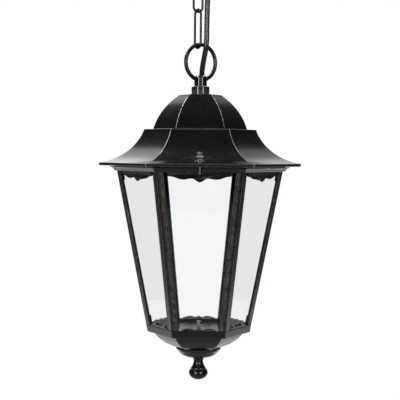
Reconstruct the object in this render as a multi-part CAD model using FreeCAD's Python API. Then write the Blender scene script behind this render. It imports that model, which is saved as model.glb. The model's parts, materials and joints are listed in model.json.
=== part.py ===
"""Hexagonal hanging lantern on a short chain, in millimetres.

Heights in the functions below are above the roof's eave tips. save() lowers every
piece by CEILING, so that in the written files the ceiling plane is z = 0 and the
lantern's upright axis passes through the origin. One flat side faces -Y (the front).
"""
import FreeCAD
import Part
import math
import os

Vector = FreeCAD.Vector
Z_AXIS = Vector(0, 0, 1)
COS30 = math.cos(math.radians(30))
TAN30 = math.tan(math.radians(30))

# Driving dimensions
CEILING = 255.0            # ceiling plane above the eave
EAVE_R = 110.0             # roof corner radius at the eave
EAVE_TOP, EAVE_BOTTOM = 1.2, -1.9
LEDGE_R, LEDGE_Z = 61.6, 37.8
DOME_R, DOME_TOP_R, DOME_TOP = 51.3, 24.8, 75.3
CAGE_TOP, CAGE_TOP_R = -7.5, 90.4
CAGE_END, CAGE_END_R = -183.4, 56.05
BAR_TOP = -175.2           # top of the bottom frame's bar
POST_WIDTH, POST_THICK = 7.5, 2.5
GLASS_THICK, GLASS_DEPTH = 2.5, 2.7
FIT = 0.06                 # radial clearance of a turning or sliding fit

RING_ANGLE = 34.0          # the ring's plane, turned about Z from the XZ plane
RING_R, RING_WIRE = 19.2, 2.125
RING_Z = 110.4             # the ring's centre
CHAIN_SHIFT = 4.0          # the chain hangs this far off the ring's crown
LINK_WIRE, LINK_WIDTH, LINK_LENGTH = 1.25, 14.0, 44.0
HOOK_WIRE, HOOK_R = 2.0, 7.0
CHAIN_GAP = 0.1            # play left between two wires that hang in each other

CABLE_R = 2.9
CABLE_ROUTE = [
    (1.25, 15.4, 76.5), (1.25, 15.4, 91.0), (3.2, 8.6, 105.0), (5.8, 0.6, 118.0),
    (7.5, -4.6, 130.0), (7.4, -4.2, 147.0), (7.25, -3.6, 163.0), (7.4, -3.0, 180.0),
    (7.9, -2.6, 196.5), (9.2, -2.3, 216.5), (10.6, -2.2, 236.0)]
CABLE_CUTS = [114.0, 150.0, 187.0]      # heights where one stretch of cable ends
GLAND_AT = (1.25, 15.4)
GLAND_STEM, GLAND_LOW = 3.2, 60.5
BUSH_AT = (9.95, -2.25)

SCREW_AT = 89.0            # thumb screws, in front of and behind the axis
SCREW_R = 2.0

# Values worked out from them
RING_DIR = Vector(math.cos(math.radians(RING_ANGLE)), math.sin(math.radians(RING_ANGLE)), 0)
LINK_DIR = Vector(RING_DIR.y, -RING_DIR.x, 0)
CHAIN = RING_DIR * -CHAIN_SHIFT
RING_BOTTOM = RING_Z - RING_R
RING_CONTACT = RING_Z + math.sqrt(RING_R ** 2 - CHAIN_SHIFT ** 2)
LINK_PITCH = LINK_LENGTH - 2 * LINK_WIRE
LOWER_BOTTOM = RING_CONTACT - RING_WIRE - LINK_WIRE - CHAIN_GAP
LOWER_TOP = LOWER_BOTTOM + LINK_PITCH
UPPER_BOTTOM = LOWER_TOP - 2 * LINK_WIRE - CHAIN_GAP
UPPER_TOP = UPPER_BOTTOM + LINK_PITCH
HOOK_BEND = UPPER_TOP - LINK_WIRE - HOOK_WIRE - CHAIN_GAP
TAPER = math.atan((CAGE_TOP_R - CAGE_END_R) * COS30 / (CAGE_TOP - CAGE_END))
FACE_ANGLES = [30 + 60 * k for k in range(6)]
CORNER_ANGLES = [60 * k for k in range(6)]


# Helpers

def save(name, *shapes):
    """Write one node: its solids, lowered so that the ceiling is z = 0."""
    group = shapes[0] if len(shapes) == 1 else Part.makeCompound(list(shapes))
    group = group.copy()
    group.translate(Vector(0, 0, -CEILING))
    volume = sum(s.Volume for s in group.Solids)
    if not group.isValid() or not group.Solids:
        print("NOT VALID", name)
    print("%-22s solids %2d volume %10.1f" % (name, len(group.Solids), volume))
    group.exportStep("parts/%s.step" % name)


def turned(shape, angle):
    """A copy turned about the lantern's axis."""
    copy = shape.copy()
    copy.rotate(Vector(0, 0, 0), Z_AXIS, angle)
    return copy


def moved(shape, x=0.0, y=0.0, z=0.0):
    copy = shape.copy()
    copy.translate(Vector(x, y, z))
    return copy


def outline(start, *steps, place=lambda x, z: Vector(x, 0, z)):
    """A closed face. A step is a point (x, z), or an arc ((mid), (end))."""
    edges, here = [], start
    for step in steps + (start,):
        arc = isinstance(step[0], tuple)
        end = step[1] if arc else step
        if math.dist(here, end) < 1e-6:
            continue
        if arc:
            edges.append(Part.Arc(place(*here), place(*step[0]), place(*end)).toShape())
        else:
            edges.append(Part.LineSegment(place(*here), place(*end)).toShape())
        here = end
    return Part.Face(Part.Wire(edges))


def lathe(face):
    return face.revolve(Vector(0, 0, 0), Z_AXIS, 360)


def hexed(face):
    """A six-sided casting with mitred corners. Its profile is (distance to the side, z)."""
    reach = face.BoundBox.XMax + 1
    half = reach * TAN30
    bar = moved(face, y=-half).extrude(Vector(0, 2 * half, 0))
    low, tall = face.BoundBox.ZMin - 1, face.BoundBox.ZLength + 2
    corners = [Vector(0, 0, low), Vector(reach, -half, low), Vector(reach, half, low)]
    sector = Part.Face(Part.makePolygon(corners + corners[:1])).extrude(Vector(0, 0, tall))
    side = bar.common(sector)
    sides = [turned(side, a) for a in FACE_ANGLES]
    return sides[0].fuse(sides[1:]).removeSplitter()


def rod(radius, low, high, x=0.0, y=0.0):
    return Part.makeCylinder(radius, high - low, Vector(x, y, low))


def box(x0, x1, y0, y1, z0, z1):
    return Part.makeBox(x1 - x0, y1 - y0, z1 - z0, Vector(x0, y0, z0))


def hex_nut(across, low, high, bore, x=0.0, y=0.0):
    r = across / 2 / COS30
    ring = [Vector(x + r * math.cos(math.radians(a)), y + r * math.sin(math.radians(a)), low)
            for a in range(0, 420, 60)]
    body = Part.Face(Part.makePolygon(ring)).extrude(Vector(0, 0, high - low))
    return body.cut(rod(bore, low - 1, high + 1, x, y)) if bore else body


def screw_up(x, y, head_z, tip_z, shank, head, head_tall):
    """A cross-recessed pan head screw along Z, with its head's seat at head_z."""
    way = 1 if tip_z > head_z else -1
    low, high = sorted((head_z, tip_z))
    top = head_z - way * head_tall
    shape = rod(shank, low, high, x, y).fuse(rod(head, min(top, head_z), max(top, head_z), x, y))
    depth = head_tall * 0.5
    for wide, deep in ((head * 1.1, 0.7), (0.7, head * 1.1)):
        z0, z1 = sorted((top, top + way * depth))
        shape = shape.cut(box(x - wide / 2, x + wide / 2, y - deep / 2, y + deep / 2, z0, z1))
    return shape


def circle_of(p, q, r):
    """Centre and radius of the circle through three profile points."""
    curve = Part.Arc(Vector(*p, 0), Vector(*q, 0), Vector(*r, 0)).toShape().Curve
    return curve.Center.x, curve.Center.y, curve.Radius


def apothem(corner_radius):
    return corner_radius * COS30


def cage_corner(z):
    """Corner radius of the glazed cage at a height."""
    share = (CAGE_TOP - z) / (CAGE_TOP - CAGE_END)
    return CAGE_TOP_R + share * (CAGE_END_R - CAGE_TOP_R)


def corner_way(z_from, z_to):
    """The step along a corner line of the cage, at the +X corner."""
    return Vector(cage_corner(z_to) - cage_corner(z_from), 0, z_to - z_from)


def tube(points, radius):
    """A round tube along straight runs joined by arcs that touch both runs."""
    p = [Vector(*q) for q in points]
    solids, start, least = [], p[0], 1e9
    for i in range(1, len(p) - 1):
        come, go = (p[i] - p[i - 1]), (p[i + 1] - p[i])
        shorter = min(come.Length, go.Length)
        come.normalize()
        go.normalize()
        turn = come.getAngle(go)
        bend = 0.45 * shorter / math.tan(turn / 2)
        least = min(least, bend)
        enter = p[i] - come * (0.45 * shorter)
        axis = come.cross(go).normalize()
        centre = enter + axis.cross(come).normalize() * bend
        solids.append(Part.makeCylinder(radius, (enter - start).Length, start, come))
        disc = Part.Face(Part.Wire(Part.makeCircle(radius, enter, come)))
        solids.append(disc.revolve(centre, axis, math.degrees(turn)))
        start = p[i] + go * (0.45 * shorter)
    last = p[-1] - start
    solids.append(Part.makeCylinder(radius, last.Length, start, last))
    whole = solids[0].fuse(solids[1:])
    length = whole.Volume / (math.pi * radius ** 2)
    print("tube length %.1f smallest bend %.1f solids %d" % (length, least, len(whole.Solids)))
    return whole


# Roof

def roof_skirt():
    """Flared hexagonal skirt casting, open underneath, with two screw pads."""
    tip, middle, top = (apothem(EAVE_R), EAVE_TOP), (73.0, 10.25), (apothem(LEDGE_R), 36.0)
    cx, cz, radius = circle_of(tip, middle, top)
    wall, rim, hole = 2.6, 73.5, 33.0
    inner = radius + wall
    inner_end = (rim, cz - math.sqrt(inner ** 2 - (rim - cx) ** 2))
    under = LEDGE_Z - wall
    inner_top = (cx - math.sqrt(inner ** 2 - (under - cz) ** 2), under)
    inner_mid_x = (inner_end[0] + inner_top[0]) / 2
    inner_mid = (inner_mid_x, cz - math.sqrt(inner ** 2 - (inner_mid_x - cx) ** 2))
    profile = outline(
        (tip[0], EAVE_BOTTOM), tip, (middle, top), (top[0], LEDGE_Z - 0.6),
        (top[0] - 0.6, LEDGE_Z), (hole, LEDGE_Z), (hole, under), inner_top,
        (inner_mid, inner_end), (rim, EAVE_BOTTOM))
    skirt = hexed(profile)
    for side in (-1, 1):
        skirt = skirt.fuse(rod(4.8, 0.5, 4.5, 0, side * SCREW_AT))
    for side in (-1, 1):
        skirt = skirt.cut(rod(SCREW_R + FIT, -5, 10, 0, side * SCREW_AT))
    for x, y in dome_screw_places() + bracket_screw_places():
        skirt = skirt.cut(rod(2.0, 30, 40, x, y))
    return skirt


def dome_screw_places():
    return [(40 * math.cos(math.radians(a)), 40 * math.sin(math.radians(a)))
            for a in (30, 150, 210, 330)]


def bracket_screw_places():
    return [(45.5, 0.0), (-45.5, 0.0)]


def roof_dome():
    """Convex hexagonal cap casting with a flat top and an inward foot flange."""
    base, middle, shoulder = (apothem(DOME_R), LEDGE_Z), (34.3, 60.0), (apothem(DOME_TOP_R), 73.6)
    cx, cz, radius = circle_of(base, middle, shoulder)
    wall, foot = 2.5, LEDGE_Z + 3.0
    inner = radius - wall

    def inside(z):
        return (cx + math.sqrt(inner ** 2 - (z - cz) ** 2), z)
    profile = outline(
        base, (middle, shoulder), ((20.27, 74.84), (18.6, DOME_TOP)), (0, DOME_TOP),
        (0, DOME_TOP - wall), (19.4, DOME_TOP - wall), inside(70.5),
        (inside(57.0), inside(foot)), (36.0, foot), (36.0, LEDGE_Z))
    dome = hexed(profile)
    dome = dome.cut(rod(5.0, 70, 80)).cut(rod(GLAND_STEM, 70, 80, *GLAND_AT))
    for x, y in dome_screw_places() + bracket_screw_places():
        dome = dome.cut(rod(2.0, 36, 40.5, x, y))
    return dome


def suspension_post():
    """Turned collar and post with an M10 stud; the ring passes through its cross-hole."""
    collar, post, stud, post_top = 9.8, 6.9, 5.0, 96.2
    body = lathe(outline(
        (0, 62.5), (stud - 0.6, 62.5), (stud, 63.1), (stud, DOME_TOP), (collar - 0.3, DOME_TOP),
        (collar, DOME_TOP + 0.3), (collar, 83.8), (collar - 0.4, 84.2), (post, 84.2),
        (post, post_top - 2.4), ((post - 0.8, post_top - 0.8), (post - 2.4, post_top)),
        (0, post_top)))
    hole_r, above = 2.95, 0.6
    centre = Vector(0, 0, RING_BOTTOM + above)
    return body.cut(Part.makeCylinder(hole_r, 40, centre - RING_DIR * 20, RING_DIR))


def post_nut():
    washer = rod(10.5, 71.2, 72.8).cut(rod(5.3, 70, 74))
    return [hex_nut(17.0, 65.2, 71.2, 5.0), washer]


def cable_gland():
    """Screw-in gland: hexagon, domed cap and a threaded stem through the dome."""
    x, y = GLAND_AT
    mouth = 86.2
    body = lathe(outline(
        (0, GLAND_LOW), (GLAND_STEM, GLAND_LOW), (GLAND_STEM, DOME_TOP), (5.4, DOME_TOP),
        (5.4, 80.6), (5.1, 81.0), (5.1, 83.0), ((4.7, 85.2), (3.6, mouth)), (0, mouth)))
    body = moved(body, x, y)
    grip = hex_nut(9.8, 76.3, 79.2, 0, x, y)
    return body.fuse(grip).cut(rod(CABLE_R + 0.12, CABLE_ROUTE[0][2], 90, x, y))


def gland_nut():
    return hex_nut(7.8, 69.3, DOME_TOP - 2.5, GLAND_STEM, *GLAND_AT)


def thumb_screw(side):
    """Stepped, knurled clamping screw with a plain dog point."""
    body = lathe(outline(
        (0, -9.6), (1.2, -9.6), (1.6, -9.1), (1.6, -6.2), (SCREW_R, -5.8), (SCREW_R, 5.05),
        (4.3, 5.05), (4.5, 5.25), (4.5, 8.5), (4.2, 8.8), (3.05, 8.8), (3.05, 12.2),
        ((2.5, 13.0), (1.4, 13.3)), (0, 13.3)))
    for k in range(18):
        groove = Part.makeCylinder(0.35, 2.9, Vector(4.6, 0, 5.5))
        body = body.cut(turned(groove, 20 * k))
    return moved(body, y=side * SCREW_AT)


def thumb_washers():
    ring = rod(4.4, 4.5, 5.0).cut(rod(SCREW_R + FIT, 4, 6))
    return [moved(ring, y=side * SCREW_AT) for side in (-1, 1)]


# Lampholder and wiring inside the roof

STRAP_TOP, STRAP_LOW = 35.2, 33.2
EARTH_X = -24.0


def lamp_bracket():
    strap = box(-51, 51, -8, 8, STRAP_LOW, STRAP_TOP)
    strap = strap.cut(rod(5.0, 30, 40))
    for x, y in bracket_screw_places():
        strap = strap.cut(rod(2.0, 30, 40, x, y))
    return strap.cut(rod(1.5, 30, 40, EARTH_X, 0))


def lampholder_body():
    """Porcelain E27 holder body with a recess for the threaded shell."""
    return lathe(outline(
        (5.0, 26.0), (5.0, STRAP_LOW), (13.5, STRAP_LOW), ((16.4, 32.0), (17.6, 29.0)),
        (17.6, 16.0), (20.0, 12.5), (20.0, -5.4), ((19.5, -6.6), (18.4, -7.0)), (13.7, -7.0),
        (13.7, 21.0), (3.5, 21.0), (3.5, 26.0)))


def lampholder_shell():
    """Thin threaded shell, shown plain at its major diameter."""
    return lathe(outline(
        (13.2, -5.5), (13.7, -5.5), (13.7, 18.0), (9.0, 18.0), (9.0, 17.5), (13.2, 17.5)))


def lampholder_contact():
    base = rod(6.0, 19.6, 21.0)
    leaf = box(-2.0, 2.0, -5.5, 5.5, 18.6, 19.6)
    return base.fuse(leaf)


def holder_nipple():
    tube_part = rod(5.0, 26.0, 42.0).cut(rod(3.5, 20, 45))
    return [tube_part, hex_nut(14.0, STRAP_TOP, STRAP_TOP + 4, 5.0)]


def terminal_block():
    body = box(17, 33, -6, 6, STRAP_TOP, 46)
    for x in (21, 29):
        body = body.cut(rod(1.6, 40, 47, x, -3)).cut(rod(1.6, 40, 47, x, 3))
    return body


def earth_screw():
    return screw_up(EARTH_X, 0, STRAP_TOP + 1.0, STRAP_LOW - 2.5, 1.5, 3.0, 2.0)


def earth_tag():
    return rod(3.4, STRAP_TOP, STRAP_TOP + 1.0, EARTH_X, 0).cut(rod(1.5, 30, 40, EARTH_X, 0))


def core_wires():
    """Three cores from the gland, and two on from the block to the lampholder."""
    x, y = GLAND_AT
    start = GLAND_LOW - 0.4
    live = [tube([(x + 1.8, y, start), (4.0, 14.9, 53), (12, 12.5, 47), (20.8, 10.5, 42.5),
                  (21.2, 6.5, 41.0)], 1.0),
            tube([(16.5, 2.4, 42.4), (12.0, 2.6, 45.0), (7.0, 2.0, 48.5), (1.8, 1.4, 48.0),
                  (1.3, 0.6, 40), (1.4, 0.4, 31.0), (1.3, 0.3, 21.3)], 1.0)]
    neutral = [tube([(x, y - 1.8, start), (3.0, 11.5, 53), (14, 8.5, 51), (28, 9.4, 47.5),
                     (29.2, 7.1, 42.5)], 1.0),
               tube([(16.5, -2.4, 42.4), (12.0, -2.6, 45.0), (6.0, -2.0, 48.5),
                     (-1.2, -1.4, 48.0), (-1.3, -0.6, 40), (-1.4, -0.4, 31.0),
                     (-1.3, -0.3, 21.3)], 1.0)]
    earth = tube([(x - 1.8, y, start), (-3.0, 14.8, 52), (-12, 12.0, 44), (-22, 8.0, 39.0),
                  (-24.2, 4.6, 37.4)], 1.0)
    return live, neutral, earth


# Glazed cage

def crown_ring():
    """Top ring casting with an ogee outside, a gasket groove and two screw lugs."""
    profile = outline(
        (72.0, -2.6), (84.9, -2.6), (84.9, -3.5), ((82.6, -4.3), (81.4, -5.9)),
        ((80.6, -7.1), (79.2, -7.5)), (72.0, -7.5))
    ring = hexed(profile)
    for side in (-1, 1):
        lug = box(-4.6, 4.6, 80, SCREW_AT, -6.2, -2.6).fuse(rod(4.6, -6.2, -2.6, 0, SCREW_AT))
        ring = ring.fuse(lug if side > 0 else turned(lug, 180))
    for side in (-1, 1):
        ring = ring.cut(rod(SCREW_R + FIT, -8, 0, 0, side * SCREW_AT))
    groove = hexed(outline((77.6, -3.8), (80.6, -3.8), (80.6, -2.0), (77.6, -2.0)))
    ring = ring.cut(groove)
    for a in CORNER_ANGLES:
        ring = ring.cut(turned(post_bolt(CAGE_TOP, -2.6, 1.5, 2.5, 2.1), a))
    for a in FACE_ANGLES:
        ring = ring.cut(turned(clip_screw(), a))
    return ring


def roof_gasket():
    return hexed(outline((77.6, -3.8), (80.6, -3.8), (80.6, -1.95), (77.6, -1.95)))


BOSS_IN = 4.9              # the posts' screw bosses stand this far inside the corner line
BOSS_TALL = 10.0


def post_bolt(joint_z, head_z, shank, head, head_tall):
    """A screw along the +X corner line, from a ring's outer face into the post's boss."""
    inward = -1 if head_z > joint_z else 1
    tip_z = joint_z + inward * (BOSS_TALL - 1.5)
    way = corner_way(head_z, tip_z)
    start = Vector(cage_corner(head_z) - BOSS_IN, 0, head_z)
    seat = way * (head_tall / way.Length)
    shape = Part.makeCylinder(shank, way.Length, start, way)
    return shape.fuse(Part.makeCylinder(head, seat.Length, start, way))


def corner_section(z, inset, width, thick):
    """V-shaped section at the +X corner, its outside parallel to both sides."""
    c = cage_corner(z) - inset / COS30
    along = (-0.5, COS30)
    inward = (-COS30, -0.5)
    a = (c + width * along[0], width * along[1])
    b = (a[0] + thick * inward[0], a[1] + thick * inward[1])
    points = [(c, 0), a, b, (c - thick / COS30, 0), (b[0], -b[1]), (a[0], -a[1])]
    points = [Vector(x, y, z) for x, y in points]
    return Part.Face(Part.makePolygon(points + points[:1]))


def corner_post():
    """Cast corner bar with a screw boss at each end, at the +X corner."""
    way = corner_way(BAR_TOP, CAGE_TOP)
    post = corner_section(BAR_TOP, 0, POST_WIDTH, POST_THICK).extrude(way)
    slab = box(0, 120, -20, 20, BAR_TOP, CAGE_TOP)
    for low, high in ((BAR_TOP - 3, BAR_TOP + BOSS_TALL), (CAGE_TOP - BOSS_TALL, CAGE_TOP + 3)):
        run = corner_way(low, high)
        boss = Part.makeCylinder(2.4, run.Length, Vector(cage_corner(low) - BOSS_IN, 0, low), run)
        post = post.fuse(boss.common(slab))
    for joint_z, head_z in ((CAGE_TOP, -2.6), (BAR_TOP, CAGE_END)):
        post = post.cut(post_bolt(joint_z, head_z, 1.5, 2.4, 2.0))
    return post.removeSplitter()


def post_screws():
    top = post_bolt(CAGE_TOP, -2.8, 1.5, 2.4, 1.8)
    bottom = post_bolt(BAR_TOP, CAGE_END + 0.2, 1.5, 2.4, 1.8)
    return [turned(s, a) for a in CORNER_ANGLES for s in (top, bottom)]


CLIP_LOW, CLIP_HIGH = -13.2, -3.0      # each pane's clip, inside the crown ring
CLIP_FACE, CLIP_THICK = 71.95, 1.2
CLIP_SCREW_Z = -5.05


def clip_screw(fit=0.0):
    """Screw through a clip into the crown ring's inner face, on the +X side."""
    seat, way = CLIP_FACE - CLIP_THICK, Vector(1, 0, 0)
    shank = Part.makeCylinder(1.25 + fit, 6.0 + fit, Vector(seat, 0, CLIP_SCREW_Z), way)
    return shank.fuse(Part.makeCylinder(2.0, 1.4, Vector(seat - 1.4, 0, CLIP_SCREW_Z), way))


def glass_clips():
    clip = box(CLIP_FACE - CLIP_THICK, CLIP_FACE, -4.0, 4.0, CLIP_LOW, CLIP_HIGH)
    clip = clip.cut(clip_screw(0.1))
    return [turned(clip, a) for a in FACE_ANGLES]


def clip_screws():
    return [turned(clip_screw(), a) for a in FACE_ANGLES]


def on_side(depth):
    """Places a flat outline (along the side, up from the cage's top) on the +X side."""
    top = Vector(apothem(CAGE_TOP_R), 0, CAGE_TOP)
    up = Vector(math.sin(TAPER), 0, math.cos(TAPER))
    out = Vector(math.cos(TAPER), 0, -math.sin(TAPER))

    def place(u, v):
        return top + Vector(0, 1, 0) * u + up * v - out * depth
    return place, out


def plate(depth, thick, start, *steps):
    place, out = on_side(depth)
    return outline(start, *steps, place=place).extrude(out * -thick)


def glass_pane():
    edge, top_z, low_z = 5.4, CAGE_TOP - 0.4, BAR_TOP + 0.3
    top_v, low_v = [(z - CAGE_TOP) / math.cos(TAPER) for z in (top_z, low_z)]
    top_u, low_u = [cage_corner(z) / 2 - edge for z in (top_z, low_z)]
    pane = plate(GLASS_DEPTH, GLASS_THICK, (-top_u, top_v), (top_u, top_v), (low_u, low_v),
                 (-low_u, low_v))
    return pane.common(box(0, 120, -60, 60, BAR_TOP, CAGE_TOP))


def top_valance():
    """Scalloped trim under the crown ring: two swags and a pointed drop."""
    trim = plate(0.2, 2.0, (-33.6, 0.3), (33.6, 0.3), (32.8, -4.4),
                 ((27.0, -5.2), (22.8, -6.7)), ((17.6, -7.75), (12.4, -7.2)),
                 ((9.6, -6.75), (6.3, -7.1)), ((3.6, -9.1), (0, -10.8)),
                 ((-3.6, -9.1), (-6.3, -7.1)), ((-9.6, -6.75), (-12.4, -7.2)),
                 ((-17.6, -7.75), (-22.8, -6.7)), ((-27.0, -5.2), (-32.8, -4.4)))
    return trim.common(box(0, 120, -60, 60, -30, CAGE_TOP))


RIB_R = 2.2                # half the width of the rib in the middle of each bottom side
LUG_TALL, LUG_FACE = 2.2, 44.5         # the rib ends in a lug behind the pane's lower edge


def bottom_trim():
    """Low scalloped upstand on the bottom bar, with a rib behind its middle."""
    base = (BAR_TOP - CAGE_TOP) / math.cos(TAPER)

    def up(u, v):
        return (u, base + v)
    trim = plate(0.2, 2.0, up(-18.8, -0.6), up(18.8, -0.6), up(18.2, 0.5),
                 (up(14.6, 1.5), up(11.0, 2.4)), (up(7.6, 2.3), up(4.4, 1.2)),
                 (up(2.4, 1.6), up(0, 3.0)), (up(-2.4, 1.6), up(-4.4, 1.2)),
                 (up(-7.6, 2.3), up(-11.0, 2.4)), (up(-14.6, 1.5), up(-18.2, 0.5)))
    rib = plate(2.0, 0.6, up(-RIB_R, -0.6), up(RIB_R, -0.6), up(RIB_R, 1.2), up(0, 2.6),
                up(-RIB_R, 1.2))
    return trim.fuse(rib).common(box(0, 120, -60, 60, BAR_TOP, -150))


def bottom_frame():
    """Bottom casting: bar, ribs that end in lugs behind the panes, and a floor with a drain."""
    floor = BAR_TOP - 3.4
    ring = hexed(outline(
        (apothem(cage_corner(BAR_TOP)), BAR_TOP), (43.3, BAR_TOP), (43.3, floor), (0, floor),
        (0, floor - 2.6), (35.0, floor - 2.6), (35.0, CAGE_END), (apothem(CAGE_END_R), CAGE_END)))
    lug = rod(RIB_R, BAR_TOP - 1, BAR_TOP + LUG_TALL, 43.9)
    lug = lug.common(box(0, LUG_FACE, -9, 9, BAR_TOP - 1, 0))
    rib = rod(RIB_R, floor - 1, BAR_TOP, 43.9).fuse(lug)
    ring = ring.fuse([turned(rib, a) for a in FACE_ANGLES])
    ring = ring.cut(rod(2.5, -190, -170))
    for a in CORNER_ANGLES:
        ring = ring.cut(turned(post_bolt(BAR_TOP, CAGE_END, 1.5, 2.5, 2.1), a))
    for x, y in bowl_screw_places():
        ring = ring.cut(rod(1.5, -190, -170, x, y))
    return ring


def bowl_screw_places():
    return [(38.8 * math.cos(math.radians(a)), 38.8 * math.sin(math.radians(a)))
            for a in (90, 210, 330)]


def bottom_bowl():
    """Convex hexagonal bowl casting with a flange under the bottom frame."""
    rim, middle, low = (42.8, CAGE_END), (33.5, -194.0), (20.8, -200.3)
    cx, cz, radius = circle_of(rim, middle, low)
    inner = radius - 2.2

    def inside(z):
        return (cx + math.sqrt(inner ** 2 - (z - cz) ** 2), z)
    floor = -198.3
    profile = outline(
        rim, (middle, low), (20.6, -200.5), (0, -200.5), (0, floor), inside(floor),
        (inside(-192.0), inside(-187.4)), (35.5, -187.4), (35.5, CAGE_END))
    bowl = hexed(profile).cut(rod(3.0, -205, -190))
    for x, y in bowl_screw_places():
        bowl = bowl.cut(rod(1.5, -187.0, -180, x, y))
    return bowl


def bowl_screws():
    seat = BAR_TOP - 3.4
    return [screw_up(x, y, seat, -186.8, 1.5, 2.9, 1.9) for x, y in bowl_screw_places()]


def finial_cup():
    """Round stepped cup between the bowl and the finial."""
    return lathe(outline(
        (3.0, -200.5), (24.5, -200.5), ((23.7, -202.5), (21.9, -204.2)), (21.3, -204.5),
        (21.1, -205.1), ((17.6, -208.4), (9.4, -210.4)), (6.8, -211.0), (3.0, -211.0)))


def finial():
    """Turned ball finial with its stud."""
    return lathe(outline(
        (0, -190.5), (2.5, -190.5), (3.0, -191.0), (3.0, -211.0), (6.6, -211.0),
        ((5.5, -213.6), (5.2, -216.0)), ((6.1, -219.4), (8.2, -222.6)), (8.3, -223.2),
        (7.9, -223.6), (8.6, -224.0), ((10.35, -227.9), (7.9, -233.0)),
        ((5.0, -234.8), (1.2, -235.6)), (0, -235.6)))


def finial_nut():
    washer = rod(6.5, -198.3, -197.2).cut(rod(3.2, -200, -190))
    return [hex_nut(10.0, -197.2, -192.2, 3.0), washer]


# Chain, ring and ceiling fitting

def hanging_ring():
    normal = Vector(RING_DIR.y, -RING_DIR.x, 0)
    return Part.makeTorus(RING_R, RING_WIRE, Vector(0, 0, RING_Z), normal)


def chain_link(bottom, way):
    """Oval link of round wire, in the upright plane that holds way."""
    half = LINK_WIDTH / 2 - LINK_WIRE
    low, high = bottom + half, bottom + LINK_PITCH - half
    normal = way.cross(Z_AXIS)
    solids = []
    for z, turn in ((low, 180), (high, -180)):
        start = CHAIN - way * half + Vector(0, 0, z)
        disc = Part.Face(Part.Wire(Part.makeCircle(LINK_WIRE, start, Z_AXIS)))
        solids.append(disc.revolve(CHAIN + Vector(0, 0, z), normal, turn))
    for side in (-half, half):
        foot = CHAIN + way * side
        solids.append(rod(LINK_WIRE, low, high, foot.x, foot.y))
    return solids[0].fuse(solids[1:]).removeSplitter()


def ceiling_hook():
    """Open hook with a threaded shank; it lies in the plane of LINK_DIR."""
    eye, fillet, mouth = HOOK_BEND + HOOK_R, 5.0, math.radians(25)
    neck = eye + math.sqrt(HOOK_R ** 2 + 2 * HOOK_R * fillet)

    def at(s, z):
        return CHAIN + LINK_DIR * s + Vector(0, 0, z)
    normal = LINK_DIR.cross(Z_AXIS)
    share = HOOK_R / (HOOK_R + fillet)
    meet = at(-fillet * share, eye + (neck - eye) * share)
    turn = math.degrees(math.atan2(neck - eye, fillet))
    top_disc = Part.Face(Part.Wire(Part.makeCircle(HOOK_WIRE, at(0, neck), Z_AXIS)))
    bend = top_disc.revolve(at(-fillet, neck), normal, -turn)
    tangent = (meet - at(-fillet, neck)).cross(normal)
    eye_disc = Part.Face(Part.Wire(Part.makeCircle(HOOK_WIRE, meet, tangent)))
    sweep = 360 + math.degrees(mouth) - math.degrees(math.atan2(neck - eye, -fillet))
    loop = eye_disc.revolve(at(0, eye), normal, sweep)
    tip = Part.makeSphere(HOOK_WIRE, at(HOOK_R * math.cos(mouth), eye + HOOK_R * math.sin(mouth)))
    shank = rod(2.5, neck, 250.0, CHAIN.x, CHAIN.y)
    return shank.fuse([bend, loop, tip])


def hook_nuts():
    """Lock nut under the bracket's boss and the round nut that carries the canopy."""
    x, y = CHAIN.x, CHAIN.y
    lock = hex_nut(8.0, 238.0, 242.0, 2.5, x, y)
    holder = rod(6.5, 222.8, 227.0, x, y).cut(rod(2.5, 220, 230, x, y))
    for k in range(16):
        groove = Part.makeCylinder(0.4, 6.0, Vector(6.6, 0, 222.0))
        groove.rotate(Vector(0, 0, 0), Z_AXIS, 22.5 * k)
        holder = holder.cut(moved(groove, x, y))
    return [lock, holder]


def ceiling_bracket():
    """Screwed to the ceiling: strap with two screw slots and the hook's threaded boss."""
    x, y = CHAIN.x, CHAIN.y
    strap = box(x - 42, x + 42, y - 11, y + 11, CEILING - 3, CEILING)
    for side in (-30, 30):
        strap = strap.cut(rod(2.6, 240, 260, x + side, y))
    strap = strap.fuse(rod(6.0, 242.0, CEILING - 3, x, y))
    return strap.cut(rod(2.5, 240, 250.0, x, y))


def canopy():
    """Spun cover cup against the ceiling, with a hole for the hook and the cable bush."""
    low, wall = 227.0, 1.3
    shell = lathe(outline(
        (0, low), (20.5, low), ((38.5, 232.5), (48.0, 247.0)), (48.6, CEILING - 1.5),
        (50.5, CEILING - 1.5), (50.5, CEILING - 0.2), (47.3, CEILING - 0.2), (46.8, 247.6),
        ((37.6, 233.6), (20.3, low + wall)), (0, low + wall)))
    shell = moved(shell, CHAIN.x, CHAIN.y)
    shell = shell.cut(rod(2.6, 220, 240, CHAIN.x, CHAIN.y))
    return shell.cut(rod(5.0, 220, 240, *BUSH_AT))


def cable_bush():
    """Rubber bush in the canopy that the cable passes through."""
    body = lathe(outline(
        (CABLE_R + 0.3, 224.6), (4.6, 224.6), ((5.8, 225.2), (6.2, 227.0)), (5.0, 227.0),
        (5.0, 228.3), (6.2, 228.3), (6.2, 230.0), (CABLE_R + 0.3, 230.0)))
    return moved(body, *BUSH_AT)


def ceiling_terminals():
    x, y = CABLE_ROUTE[-1][0], CABLE_ROUTE[-1][1]
    low = CABLE_ROUTE[-1][2] + 0.3
    body = box(x - 2, x + 22, y - 8, y + 8, low, 250.0)
    body = body.fuse(box(x - 4, x - 2, y - 8, y + 8, low, 240.0))
    for k in range(3):
        body = body.cut(rod(1.7, 243, 252, x + 3 + 7 * k, y))
    return body


def cable_stretches():
    """The one cable, divided at CABLE_CUTS."""
    whole = tube(CABLE_ROUTE, CABLE_R)
    ends = [CABLE_ROUTE[0][2] - 5] + CABLE_CUTS + [CABLE_ROUTE[-1][2] + 5]
    return [whole.common(box(-30, 40, -30, 40, low, high)) for low, high in zip(ends, ends[1:])]


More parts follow.
